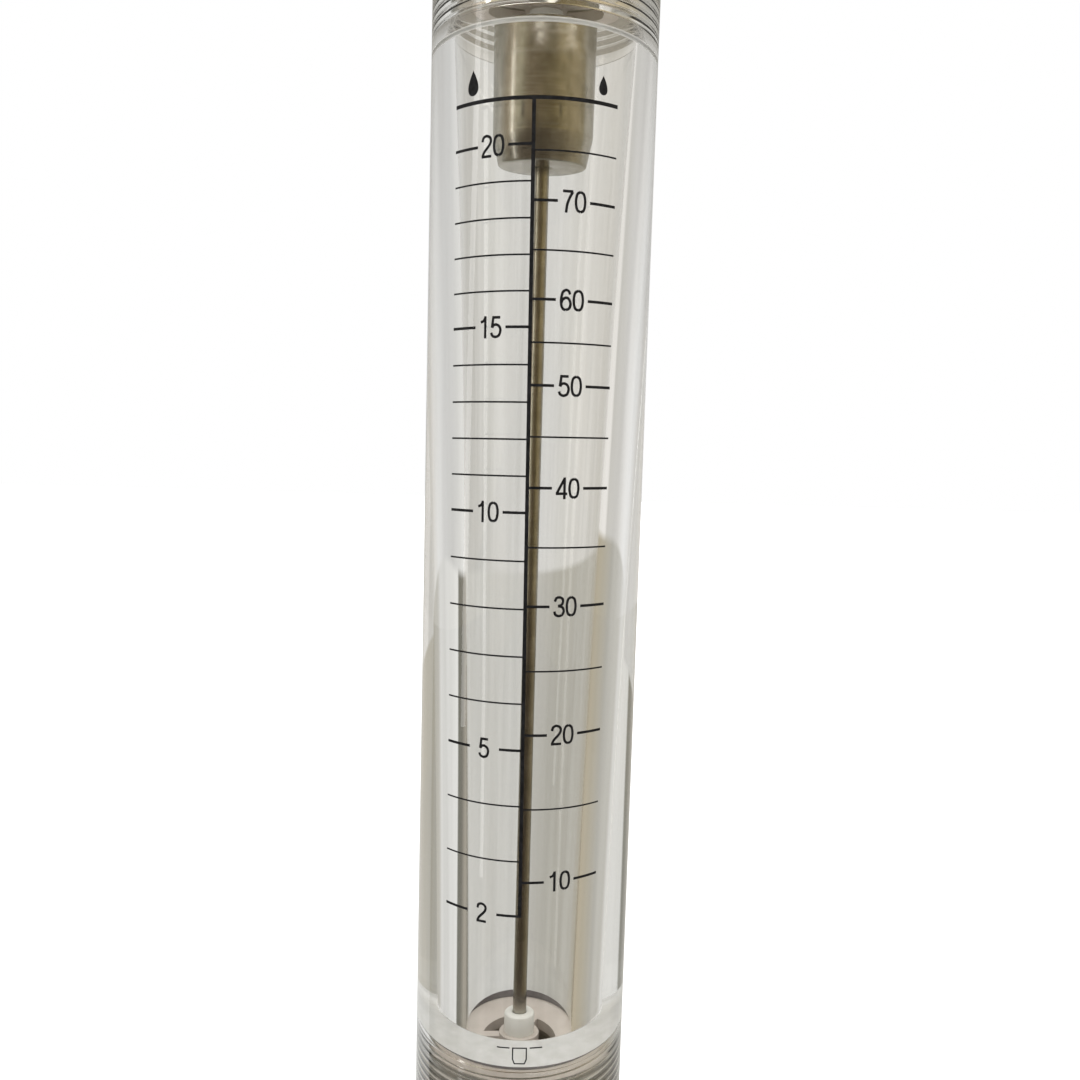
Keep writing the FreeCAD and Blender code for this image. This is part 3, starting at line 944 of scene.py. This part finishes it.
def build_floor():
    """Plain pale paper that fades to white for the eye away from the object."""
    material, tree, shader = new_material("floor_paper", Roughness=0.9)
    grain = noise(tree, 0.002, detail=2)
    low, high = (FLOOR_TONE - 0.01,) * 3, (FLOOR_TONE + 0.01,) * 3
    tree.links.new(ramp(tree, grain, ((0.3, low), (0.7, high))), shader.inputs["Base Color"])
    coords = add(tree, "ShaderNodeTexCoord")
    away = add(tree, "ShaderNodeVectorMath", operation="LENGTH")
    tree.links.new(coords.outputs["Object"], away.inputs[0])
    lift = remap(tree, away.outputs["Value"], 0.45, 1.0, 0.15, 0.8)
    paths = add(tree, "ShaderNodeLightPath")
    shader.inputs["Emission Color"].default_value = (*WHITE, 1)
    glow = calculated(tree, "MULTIPLY", paths.outputs["Is Camera Ray"], lift)
    tree.links.new(glow, shader.inputs["Emission Strength"])
    sheet = bmesh.new()
    corners = ((-1, -1), (1, -1), (1, 1), (-1, 1))
    sheet.faces.new([sheet.verts.new((x * FLOOR_REACH, y * FLOOR_REACH, 0)) for x, y in corners])
    floor = finished("floor", sheet)
    paint(floor, material)
    floor.visible_glossy = False
    floor.visible_transmission = False


def build_world():
    """White for the eye. Glass shows a pale room over a table, and metal shows its brown front side."""
    world = bpy.data.worlds.new("studio")
    bpy.context.scene.world = world
    world.use_nodes = True
    tree = world.node_tree
    coords = add(tree, "ShaderNodeTexCoord")
    split = add(tree, "ShaderNodeSeparateXYZ")
    tree.links.new(coords.outputs["Generated"], split.inputs[0])
    across, along, up = split.outputs
    around = calculated(tree, "ARCTAN2", across, calculated(tree, "MULTIPLY", along, -1.0))
    turn = remap(tree, around, 0.0, 1.0, -math.pi, math.pi)
    bow = calculated(tree, "MULTIPLY_ADD", across, TABLE_BOW, -TABLE_LEAN)
    edge = calculated(tree, "MULTIPLY_ADD", across, bow, up)
    under = remap(tree, edge, 1.0, 0.0, -TABLE_EDGE - TABLE_SOFTNESS, -TABLE_EDGE + TABLE_SOFTNESS)
    room = mixed(tree, under, ramp(tree, turn, ABOVE), ramp(tree, turn, BELOW))
    steep = remap(tree, up, 0.7, 0.0, -0.84, -0.66)
    room = mixed(tree, steep, room, TABLE_NEAR)
    raised = remap(tree, up, 0.0, 1.0, 0.10, 0.40)
    behind = remap(tree, along, 0.0, 1.0, 0.1, 0.5)
    room = mixed(tree, calculated(tree, "MULTIPLY", raised, behind), room, ROOM_HIGH)
    paths = add(tree, "ShaderNodeLightPath")
    unreflected = calculated(tree, "LESS_THAN", paths.outputs["Glossy Depth"], 0.5)
    in_front = remap(tree, along, 1.0, 0.0, -0.3, 0.1)
    room = mixed(tree, calculated(tree, "MULTIPLY", unreflected, in_front), room, ROOM_FRONT)
    bent = calculated(
        tree, "MAXIMUM", paths.outputs["Is Glossy Ray"], paths.outputs["Is Transmission Ray"]
    )
    shown = mixed(tree, bent, PALE, room)
    seen = mixed(tree, paths.outputs["Is Camera Ray"], shown, WHITE)
    tree.links.new(seen, tree.nodes["Background"].inputs["Color"])


def add_lamp(name, place, target, size, power):
    lamp = bpy.data.lights.new(name, "AREA")
    lamp.shape = "RECTANGLE"
    lamp.size, lamp.size_y = size
    lamp.energy = power
    holder = bpy.data.objects.new(name, lamp)
    holder.location = place
    holder.rotation_euler = (Vector(target) - Vector(place)).to_track_quat("-Z", "Y").to_euler()
    holder.visible_camera = False
    bpy.context.scene.collection.objects.link(holder)


def build_lamps():
    """A narrow window on the left and a broad soft lamp overhead."""
    middle = (0, 0, 0.2)
    add_lamp("window", (-0.95, -0.33, 0.35), middle, (0.11, 1.2), 1.0)
    add_lamp("ceiling", (0.1, -0.2, 1.3), middle, (1.2, 0.9), 12)


# The camera stands in front of the tube at eye level and looks down a little.
CAMERA_DISTANCE = 224.0
PITCH = math.radians(5.84)
ROLL = math.radians(1.59)
YAW = math.radians(0.47)
SENSOR_WIDTH = 36.0
IMAGE_WIDTH = 1080
FOCAL = SENSOR_WIDTH * 967.5 / IMAGE_WIDTH


def build_camera():
    camera = bpy.data.cameras.new("camera")
    camera.lens = FOCAL
    camera.sensor_width = SENSOR_WIDTH
    camera.clip_start = 0.01
    holder = bpy.data.objects.new("camera", camera)
    bpy.context.scene.collection.objects.link(holder)
    turn = (
        Matrix.Rotation(-YAW, 4, "Z")
        @ Matrix.Rotation(math.radians(90) - PITCH, 4, "X")
        @ Matrix.Rotation(ROLL, 4, "Z")
    )
    holder.matrix_world = Matrix.Translation(Vector((0, -CAMERA_DISTANCE, EYE_LEVEL)) * MM) @ turn
    bpy.context.scene.camera = holder


build_floor()
build_world()
build_lamps()
build_camera()
bpy.context.scene.view_settings.view_transform = "Standard"
